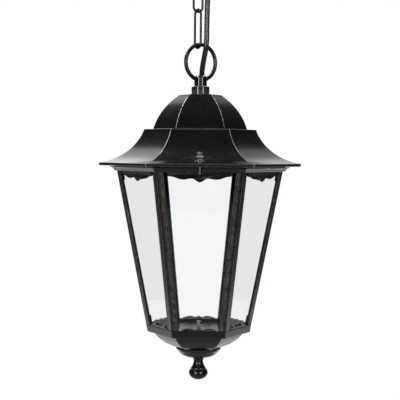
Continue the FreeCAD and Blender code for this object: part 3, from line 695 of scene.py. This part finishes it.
def roof_skirt():
    """Flared casting with a solid rim, hollow below, and a boss for each thumb screw."""
    wall, rim, hole = 2.6, 73.5, 33.0
    tip, top = (EAVE_R * COS30, 1.2), (LEDGE_R * COS30, 36.0)
    under = LEDGE_Z - wall
    body = Shape().hexed(outline(
        (tip[0], -EAVE_LIP), tip, ((73.0, 10.25), top), (top[0], LEDGE_Z - 0.6),
        (top[0] - 0.6, LEDGE_Z), (hole, LEDGE_Z), (hole, under), (49.7, under),
        ((60.4, 17.2), (rim, 6.7)), (rim, -EAVE_LIP), arc_steps=20))
    for side in (-1, 1):
        body.joined(washer(4.8, SCREW_BORE, 0.5, 4.5, (0, side * SCREW_AT)))
    # Ridges with the full lighter edge colour: a painted highlight, partly rubbed paint.
    body.build("skirt", "roof_skirt", highlight_and_wear=1.0)


def roof_dome():
    """Hollow casting with bulging sides and a flat top for the collar and gland."""
    base, middle, shoulder = (DOME_R * COS30, LEDGE_Z), (34.3, 60.0), (DOME_TOP_R * COS30, 73.6)
    wall, foot = 2.5, LEDGE_Z + 3.0
    inside = inner_arc(base, middle, shoulder, wall)
    body = Shape().hexed(outline(
        base, (middle, shoulder), ((20.27, 74.84), (18.6, DOME_TOP)), (5.0, DOME_TOP),
        (5.0, DOME_TOP - wall), (19.4, DOME_TOP - wall), inside(70.5), (inside(57.0), inside(foot)),
        (36.0, foot), (36.0, LEDGE_Z), arc_steps=20), radius=0.35)
    # Ridges with the full lighter edge colour: a painted highlight, partly rubbed paint.
    body.build("dome", "roof_dome", highlight_and_wear=1.0)


def suspension_post():
    """Collar and post with the ring's cross hole, over a threaded stud."""
    collar, post, stud, top, ring_hole = 9.8, 6.9, 5.0, 96.2, 2.95
    threads = [(stud - 0.3 * (k % 2), 63.2 + 0.5 * k) for k in range(25)]
    body = Shape().lathe([
        (0, 62.5), (stud - 0.6, 62.5), *threads, (collar - 0.3, DOME_TOP), (collar, DOME_TOP + 0.3),
        (collar, 83.8), (collar - 0.4, 84.2), (post, 84.2),
        *outline((post, top - 2.4), ((post - 0.8, top - 0.8), (post - 2.4, top)), arc_steps=6),
        (0, top)], 0.35, closed=False, sides=128)
    centre, reach = Vector((0, 0, RING_Z - RING_R + 0.6)), RING_DIR * 20
    body.build("post", "suspension_post", holes=[(centre - reach, centre + reach, ring_hole)])


def post_nut():
    nut(17.0, 65.2, 71.2, 5.0).joined(washer(10.5, 5.3, 71.2, 72.8)).build("stud_nut", "post_nut")


def cable_gland():
    """Hexagon and stem, a ribbed cap that tapers round the cable, and the bore."""
    stem, low, mouth, bore, depth = 3.2, 60.5, 86.2, CABLE_R + 0.12, 0.16

    def ribs(angle, r, z):
        return r - (depth * (1 + math.cos(20 * angle)) if 80.2 < z < 83.6 and r > 4.9 else 0.0)
    body = Shape().lathe([
        (0, low), (stem - 0.3, low), (stem, low + 0.3), (stem, DOME_TOP), (5.4, DOME_TOP),
        (5.4, 80.3), (5.15, 80.6), (5.1, 83.4),
        *outline((5.0, 83.8), ((4.6, 85.3), (3.6, mouth)), arc_steps=6), (bore, mouth),
        (bore, 76.5), (0, 76.5)], 0.25, closed=False, at=GLAND_AT, sides=120, wave=ribs)
    body.joined(nut(9.8, 76.3, 79.2, 4.5, GLAND_AT))
    body.build("gland", "cable_gland")
    nut(7.8, 69.3, DOME_TOP - 2.5, stem, GLAND_AT).build("gland_locknut", "gland_nut")


def thumb_screw(side, node):
    """Stepped head with a knurled grip, a threaded shank and a dog point."""
    def knurl(angle, r, z):
        return r - (0.17 * (1 + math.cos(18 * angle)) if 5.3 < z < 8.4 and r > 4.2 else 0.0)
    threads = [(2.0 - 0.22 * (k % 2), -5.6 + 0.35 * k) for k in range(30)]
    body = Shape().lathe([
        (0, -9.6), (1.2, -9.6), (1.6, -9.1), (1.6, -6.2), *threads, (2.0, 5.05), (4.3, 5.05),
        (4.5, 5.3), (4.5, 8.4), (4.2, 8.8), (3.05, 8.8), (3.05, 12.2),
        *arc((3.05, 12.2), (2.5, 13.0), (1.4, 13.3), 5), (0, 13.3)],
        0.2, closed=False, at=(0, side * SCREW_AT), sides=144, wave=knurl)
    # Edges with the full lighter colour: a painted highlight, partly rubbed paint.
    body.build("screw_front" if side < 0 else "screw_rear", node, highlight_and_wear=1.0)


def thumb_washers():
    rings = [washer(4.4, SCREW_BORE, 4.5, 5.0, (0, side * SCREW_AT)) for side in (-1, 1)]
    Shape().joined(*rings).build("screw_washers", "thumb_washers")


# ---------------------------------------------------------------- lampholder

def lampholder():
    """Porcelain body, and the threaded shell that the lamp screws into."""
    strap = 33.2
    Shape().lathe(outline(
        (5.0, 26.0), (5.0, strap), (13.5, strap), ((16.4, 32.0), (17.6, 29.0)), (17.6, 16.0),
        (20.0, 12.5), (20.0, -5.4), ((19.5, -6.6), (18.4, -7.0)), (13.7, -7.0), (13.7, 21.0),
        (3.5, 21.0), (3.5, 26.0), arc_steps=6), 0.5).build("lampholder", "lampholder_body")

    def screw_thread(angle, r, z):
        """The round thread of a lamp cap, pressed into thin sheet."""
        return r - (0.45 * (1 + math.cos(math.tau * z / 3.6 - angle)) if r > 13.0 and z < 17 else 0.0)
    steps = [-5.5 + 0.4 * k for k in range(57)]
    wall = [(13.65, z) for z in steps] + [(13.65, 18.0), (9.0, 18.0), (9.0, 17.5), (13.2, 17.5)]
    wall += [(13.2, z) for z in reversed(steps)]
    Shape().lathe(wall, 0.1, wave=screw_thread).build("lamp_thread", "lampholder_shell")


# ---------------------------------------------------------------- glazed cage

CAGE_TOP, CAGE_TOP_R = -7.5, 90.4
CAGE_END, CAGE_END_R, BAR_TOP = -183.4, 56.05, -175.2
POST_WIDTH, POST_THICK = 7.5, 2.5
GLASS_DEPTH, GLASS_THICK = 2.7, 2.5
TAPER = math.atan((CAGE_TOP_R - CAGE_END_R) * COS30 / (CAGE_TOP - CAGE_END))
BAR_V = (BAR_TOP - CAGE_TOP) / math.cos(TAPER)


def cage_corner(z):
    """Corner radius of the glazed cage at a height."""
    return CAGE_TOP_R + (CAGE_TOP - z) / (CAGE_TOP - CAGE_END) * (CAGE_END_R - CAGE_TOP_R)


def on_side(start_depth):
    """Places a plate's outline (along the side, up from the cage's top) on the +X side."""
    up, out = (math.sin(TAPER), math.cos(TAPER)), (math.cos(TAPER), -math.sin(TAPER))

    def place(u, v, depth):
        inward = start_depth + depth
        return CAGE_TOP_R * COS30 + up[0] * v - out[0] * inward, u, CAGE_TOP + up[1] * v - out[1] * inward
    return place


def crown_ring():
    """Top ring with an ogee outside, and the two lugs that the thumb screws pass through.

    The lugs overlap the ring, which the cut in drilled() takes wrongly without the Boolean's
    use_self: it leaves a plug in each of the two holes.
    """
    ring = Shape().hexed(outline(
        (72.0, -2.6), (84.9, -2.6), (84.9, -3.5), ((82.6, -4.3), (81.4, -5.9)),
        ((80.6, -7.1), (79.2, -7.5)), (72.0, -7.5), arc_steps=7), 0.35)
    for side in (-1, 1):
        bow = outline((-4.6, SCREW_AT), ((0, SCREW_AT + 4.6), (4.6, SCREW_AT)))
        rim = [(-4.6, 80.0), *bow, (4.6, 80.0)]
        rim = [(side * x, side * y) for x, y in rim]
        ring.prism([[(x, y, z, 0.0) for x, y in rim] for z in (-6.2, -2.6)])
    holes = [((0, side * SCREW_AT, -9), (0, side * SCREW_AT, 0), SCREW_BORE) for side in (-1, 1)]
    ring.build("crown", "crown_ring", holes=holes)


def corner_post():
    """V-shaped bar with rounded edges, a fine groove along each wing, and a screw boss at each end."""
    along, inward, groove = (-0.5, COS30), (-COS30, -0.5), POST_WIDTH - 2.2

    def wing(far, deep):
        return far * along[0] + deep * inward[0], far * along[1] + deep * inward[1]
    half = [wing(groove - 0.35, 0), wing(groove, 0.3), wing(groove + 0.35, 0), wing(POST_WIDTH, 0),
            wing(POST_WIDTH, POST_THICK)]
    section = [(0.0, 0.0), *half, (-POST_THICK / COS30, 0.0)]
    section += [(x, -y) for x, y in reversed(half)]
    rim = softened(section, 0.55)

    def bar(low, high, points, steps):
        heights = [low + (high - low) * k / steps for k in range(steps + 1)]
        return Shape().prism([[(cage_corner(z) + x, y, z, edge) for x, y, edge in points] for z in heights])
    post = bar(BAR_TOP, CAGE_TOP, rim, 12)
    angles = [math.tau * k / 32 for k in range(32)]
    boss = [(2.4 * math.cos(a) - 4.9, 2.4 * math.sin(a), 0.0) for a in angles]
    return post.joined(bar(BAR_TOP, BAR_TOP + 10, boss, 1), bar(CAGE_TOP - 10, CAGE_TOP, boss, 1))


def glass_pane():
    """Tapered pane between two corner posts, on the +X side."""
    edge, top_z, low_z = 5.4, CAGE_TOP - 0.4, BAR_TOP + 0.3
    (top_v, top_u), (low_v, low_u) = [
        ((z - CAGE_TOP) / math.cos(TAPER), cage_corner(z) / 2 - edge) for z in (top_z - 0.5, low_z + 0.5)]
    return Shape().plate(on_side(GLASS_DEPTH), GLASS_THICK, [
        (-top_u, top_v), (top_u, top_v), (low_u, low_v), (-low_u, low_v)])


def top_valances():
    """Scalloped trim under the crown ring: two swags and a pointed drop."""
    half = outline((32.8, -4.4), ((27.0, -5.2), (22.8, -6.7)), ((17.6, -7.75), (12.4, -7.2)),
                   ((9.6, -6.75), (6.3, -7.1)), ((3.6, -9.1), (0, -10.8)), arc_steps=7)
    rim = [(-33.6, 0.0), (33.6, 0.0), *half, *[(-u, v) for u, v in reversed(half[:-1])]]
    trim = Shape().plate(on_side(0.2), 2.0, rim)
    trim.turned(30).six().build("valances", "top_valances", bevel=0.35)


def bottom_trims():
    """Low scalloped upstand on the bottom bar, with a rib behind its middle."""
    rib = 2.2
    half = outline((18.2, 0.5), ((14.6, 1.5), (11.0, 2.4)), ((7.6, 2.3), (4.4, 1.2)),
                   ((2.4, 1.6), (0, 3.0)), arc_steps=7)
    rim = [(-18.8, 0.0), (18.8, 0.0), *half, *[(-u, v) for u, v in reversed(half[:-1])]]
    trim = Shape().plate(on_side(0.2), 2.0, [(u, BAR_V + v) for u, v in rim])
    rim = [(-rib, 0.0), (rib, 0.0), (rib, 1.2), (0, 2.6), (-rib, 1.2)]
    trim.plate(on_side(2.1), 0.5, [(u, BAR_V + v) for u, v in rim])
    trim.turned(30).six().build("trims", "bottom_trims", bevel=0.3)


def bottom_frame():
    """Bar and floor in one casting, with ribs that end in lugs behind the panes."""
    floor, drain, lug_top, lug_flat = BAR_TOP - 3.4, 2.5, BAR_TOP + 2.2, 0.6

    def lug(angle, r, z):
        """The rib is round below the bar's top, and flat towards the pane above it."""
        return min(r, lug_flat / math.cos(angle)) if z > BAR_TOP and math.cos(angle) > 0.2 else r
    body = Shape().hexed([
        (cage_corner(BAR_TOP) * COS30, BAR_TOP), (43.3, BAR_TOP), (43.3, floor), (drain, floor),
        (drain, floor - 2.6), (35.0, floor - 2.6), (35.0, CAGE_END), (CAGE_END_R * COS30, CAGE_END)])
    rib = Shape().lathe([
        (0, floor - 1), (2.2, floor - 1), (2.2, BAR_TOP), (2.2, BAR_TOP + 0.05), (2.2, lug_top),
        (0, lug_top)], 0.4, closed=False, at=(43.9, 0), sides=48, wave=lug)
    body.joined(rib.turned(30).six()).build("bottom_casting", "bottom_frame")


def bottom_bowl():
    """Convex bowl with a fine groove round it and a flange under the bottom frame."""
    rim, middle, low, wall = (42.8, CAGE_END), (33.5, -194.0), (20.8, -200.3), 2.2
    inside, outside = inner_arc(rim, middle, low, wall), inner_arc(rim, middle, low, 0)
    floor, bore, groove = -198.3, 3.0, -194.5
    body = Shape().hexed(outline(
        rim, (outside(-189.0), outside(groove + 0.3)), (outside(groove)[0] - 0.45, groove),
        outside(groove - 0.3), (outside(-197.6), low), (20.6, -200.5), (bore, -200.5),
        (bore, floor), inside(floor),
        (inside(-192.0), inside(-187.4)), (35.5, -187.4), (35.5, CAGE_END), arc_steps=16), 0.4)
    body.build("bowl", "bottom_bowl")


def finial():
    """Round cup, ball on its stem, and the nut and washer inside the bowl."""
    Shape().lathe(outline(
        (3.0, -200.5), (24.5, -200.5), ((23.7, -202.5), (21.9, -204.2)), (21.3, -204.5),
        (21.1, -205.1), ((17.6, -208.4), (9.4, -210.4)), (6.8, -211.0), (3.0, -211.0),
        arc_steps=8), 0.25, sides=128).build("cup", "finial_cup")
    Shape().lathe(outline(
        (0, -190.5), (2.5, -190.5), (3.0, -191.0), (3.0, -211.0), (6.6, -211.0),
        ((5.5, -213.6), (5.2, -216.0)), ((6.1, -219.4), (8.2, -222.6)), (8.3, -223.2),
        (7.9, -223.6), (8.6, -224.0), ((10.35, -227.9), (7.9, -233.0)),
        ((5.0, -234.8), (1.2, -235.6)), (0, -235.6), arc_steps=10),
        0.25, closed=False).build("ball_finial", "finial")
    fixing = nut(10.0, -197.2, -192.2, 3.0).joined(washer(6.5, 3.2, -198.3, -197.2))
    fixing.build("finial_fixing", "finial_nut")


# ---------------------------------------------------------------- ring, chain and ceiling fitting

CHAIN = RING_DIR * -4.0
LINK_WIRE, LINK_WIDTH, LINK_LENGTH, LINK_STEPS = 1.25, 14.0, 44.0, 24
HOOK_WIRE, HOOK_R = 2.0, 7.0
CEILING = 255.0


def wire_bottom(node):
    """Height of a wire's centre line at the lowest point of its node."""
    return drawn(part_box(node)[0]).z + LINK_WIRE


def in_plane(way, centre, s, z):
    """The point s along way and z up from a centre."""
    return centre + way * s + Vector((0, 0, z))


def hanging_ring():
    """Ring of round bar, with the fine groove where its two ends were butted together."""
    joint, groove = 144.0, {-0.8: 0.0, -0.4: 0.05, 0.0: 0.16, 0.4: 0.05, 0.8: 0.0}
    angles = sorted([2.4 * k for k in range(150) if abs(2.4 * k - joint) > 1] + [joint + g for g in groove])
    points = [in_plane(RING_DIR, Vector((0, 0, RING_Z)), RING_R * math.cos(math.radians(a)),
                       RING_R * math.sin(math.radians(a))) for a in angles]
    wide = [RING_WIRE - groove.get(round(a - joint, 1), 0.0) for a in angles]
    Shape().sweep(points, wide, loop=True, sides=36).build("ring", "hanging_ring")


def chain_link(node, way):
    """Long link with round ends, standing in the plane of way."""
    half = LINK_WIDTH / 2 - LINK_WIRE
    low = wire_bottom(node) + half
    high = low + LINK_LENGTH - 2 * LINK_WIRE - 2 * half
    path = []
    for z, start in ((low, 180), (high, 0)):
        for k in range(LINK_STEPS + 1):
            a = math.radians(start + 180 / LINK_STEPS * k)
            path.append(in_plane(way, CHAIN, half * math.cos(a), z + half * math.sin(a)))
    Shape().sweep(path, LINK_WIRE, loop=True).build("chain_" + node, node)


def ceiling_hook():
    """Open hook: shank, a bend to one side, and the eye that ends in a rounded tip."""
    bend, mouth = 5.0, math.radians(25)
    eye = drawn(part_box("ceiling_hook")[0]).z + HOOK_WIRE + HOOK_R
    neck = eye + math.sqrt(HOOK_R ** 2 + 2 * HOOK_R * bend)
    turn = math.atan2(neck - eye, bend)
    path = [(0, 250.0), (0, 249.5), (0, neck + 0.9), (0, neck)]
    wide = [2.2, 2.5, 2.5, HOOK_WIRE]
    for k in range(1, 13):
        a = turn * k / 12
        path.append((-bend + bend * math.cos(a), neck - bend * math.sin(a)))
        wide.append(HOOK_WIRE)
    start, end = math.pi - turn, math.tau + mouth
    for k in range(1, 49):
        a = start + (end - start) * k / 48
        path.append((HOOK_R * math.cos(a), eye + HOOK_R * math.sin(a)))
        wide.append(HOOK_WIRE)
    for k in range(1, 7):
        a = math.radians(15 * k)
        s, z = HOOK_R * math.cos(mouth), eye + HOOK_R * math.sin(mouth)
        far = HOOK_WIRE * math.sin(a)
        path.append((s - far * math.sin(mouth), z + far * math.cos(mouth)))
        wide.append(max(0.05, HOOK_WIRE * math.cos(a)))
    points = [in_plane(LINK_DIR, CHAIN, s, z) for s, z in path]
    Shape().sweep(points, wide).build("hook", "ceiling_hook")


def hook_nuts():
    """Lock nut above the ceiling cup's floor, and the knurled round nut under it."""
    at = (CHAIN.x, CHAIN.y)

    def knurl(angle, r, z):
        return r - (0.18 * (1 + math.cos(16 * angle)) if r > 6.2 else 0.0)
    round_nut = Shape().lathe([(2.5, 222.8), (6.3, 222.8), (6.5, 223.0), (6.5, 226.8), (6.3, 227.0),
                               (2.5, 227.0)], 0.2, at=at, sides=128, wave=knurl)
    nut(8.0, 238.0, 242.0, 2.5, at).joined(round_nut).build("nuts_on_hook", "hook_nuts")


def canopy():
    """Spun cup with a rolled rim, and holes for the hook and the cable's bush."""
    low, wall, hook_hole, bush_hole = 227.0, 1.3, 2.6, 5.0
    body = Shape().lathe(outline(
        (0, low), (20.5, low), ((38.5, 232.5), (48.0, 247.0)), (48.6, CEILING - 1.5),
        (50.5, CEILING - 1.5), (50.5, CEILING - 0.2), (47.3, CEILING - 0.2), (46.8, 247.6),
        ((37.6, 233.6), (20.3, low + wall)), (0, low + wall), arc_steps=16),
        0.35, closed=False, at=(CHAIN.x, CHAIN.y), sides=160)
    places = ((CHAIN.x, CHAIN.y), hook_hole), (bush_at(), bush_hole)
    body.build("ceiling_cup", "canopy", holes=[((*at, 220), (*at, 240), radius) for at, radius in places])


def bush_at():
    """The place of the cable's bush in the ceiling cup, as (x, y)."""
    low, high = [drawn(corner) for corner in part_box("cable_bush")]
    return (low.x + high.x) / 2, (low.y + high.y) / 2


def cable_bush():
    """Rubber bush with a groove that the ceiling cup's floor sits in."""
    bore = CABLE_R + 0.3
    body = Shape().lathe(outline(
        (bore, 224.6), (4.6, 224.6), ((5.8, 225.2), (6.2, 227.0)), (5.0, 227.0), (5.0, 228.3),
        (6.2, 228.3), (6.2, 230.0), (bore, 230.0), arc_steps=6), 0.2, at=bush_at())
    body.build("bush", "cable_bush")


# ---------------------------------------------------------------- supply cable

CABLE_ROUTE = [
    (1.25, 15.4, 76.5), (0.9, 15.4, 91.0), (1.7, 8.6, 105.0), (4.2, 0.6, 118.0),
    (6.2, -4.6, 130.0), (6.3, -4.2, 147.0), (6.5, -3.6, 163.0), (7.0, -3.0, 180.0),
    (7.9, -2.6, 196.5), (9.2, -2.3, 216.5), (10.6, -2.2, 236.0)]
CABLE_STRETCHES = [         # body below, body above, heights where it leaves one and joins the other
    ("roof", "ring", 88.0, 114.0), ("ring", "link_lower", 114.0, 150.0),
    ("link_lower", "link_upper", 150.0, 187.0), ("link_upper", "ceiling", 187.0, 222.0)]


def cable_line():
    """Points read from the smooth line that the route's points control."""
    curve = bpy.data.curves.new("cable_line", "CURVE")
    curve.dimensions, curve.resolution_u = "3D", 24
    spline = curve.splines.new("NURBS")
    spline.points.add(len(CABLE_ROUTE) - 1)
    for knot, point in zip(spline.points, CABLE_ROUTE):
        knot.co = (*(Vector(point) * MM + LIFT), 1.0)
    spline.order_u, spline.use_endpoint_u = 3, True
    holder = bpy.data.objects.new("cable_line", curve)
    mesh = bpy.data.meshes.new_from_object(holder)
    points = [v.co.copy() for v in mesh.vertices]
    bpy.data.objects.remove(holder)
    bpy.data.meshes.remove(mesh)
    return points


def stretch(line, low, high):
    """The part of the line between two heights, cut exactly there."""
    part = [line[0]] if low == line[0].z else []
    for a, b in zip(line, line[1:]):
        for z in (low, high):
            if a.z < z < b.z:
                part.append(a.lerp(b, (z - a.z) / (b.z - a.z)))
        if low < b.z < high or b == line[-1] and high == b.z:
            part.append(b)
    return part


def supply_cable():
    line = cable_line()
    cuts = [line[0].z, *[height(s[2]) for s in CABLE_STRETCHES[1:]], line[-1].z]
    for k, (below, above, leave, join) in enumerate(CABLE_STRETCHES):
        part = stretch(line, cuts[k], cuts[k + 1])
        tube = Shape().sweep([drawn(p) for p in part], CABLE_R, sides=36)
        piece = tube.build("cable_%d" % (k + 1), "power_cable_%d" % (k + 1), rides=False)
        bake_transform(piece)


# ---------------------------------------------------------------- parts kept from the CAD model

KEPT = {
    "lamp_bracket": 0.5, "lampholder_contact": 0.3, "holder_nipple": 0.25, "terminal_block": 0.6,
    "earth_screw": 0.2, "dome_screws": 0.25, "bracket_screws": 0.25, "post_screws": 0.2,
    "clip_screws": 0.2, "glass_clips": 0.25, "bowl_screws": 0.2, "roof_gasket": 0.3,
    "ceiling_bracket": 0.7, "ceiling_terminals": 0.7, "wire_live": 0.15, "wire_neutral": 0.15,
    "wire_earth": 0.15}


def keep_part(node, width):
    """Rounds a CAD part's edges and gives it its material."""
    part = frame["nodes"][node]
    weld = part.modifiers.new("weld", "WELD")
    weld.merge_threshold = 2e-6
    add_bevel(part, width)
    part.modifiers.new("normals", "WEIGHTED_NORMAL").keep_sharp = True
    part.data.materials.clear()
    part.data.materials.append(MATERIALS[SLOT_OF[node]])
    part.data.polygons.foreach_set("use_smooth", [True] * len(part.data.polygons))


add_camera()
supply_cable()
add_world()
add_studio()
roof_skirt()
roof_dome()
suspension_post()
post_nut()
cable_gland()
thumb_screw(-1, "thumb_screw_front")
thumb_screw(1, "thumb_screw_rear")
thumb_washers()
lampholder()
crown_ring()
for k in range(6):
    corner_post().turned(CORNERS[k]).build("post_%d" % (k + 1), "corner_post_%d" % (k + 1))
    glass_pane().turned(SIDES[k]).build("pane_%d" % (k + 1), "glass_pane_%d" % (k + 1), bevel=0.3)
top_valances()
bottom_trims()
bottom_frame()
bottom_bowl()
finial()
hanging_ring()
chain_link("link_upper", RING_DIR)
chain_link("link_lower", LINK_DIR)
ceiling_hook()
hook_nuts()
canopy()
cable_bush()
for node, width in KEPT.items():
    keep_part(node, width)

scene.view_settings.view_transform = "Standard"
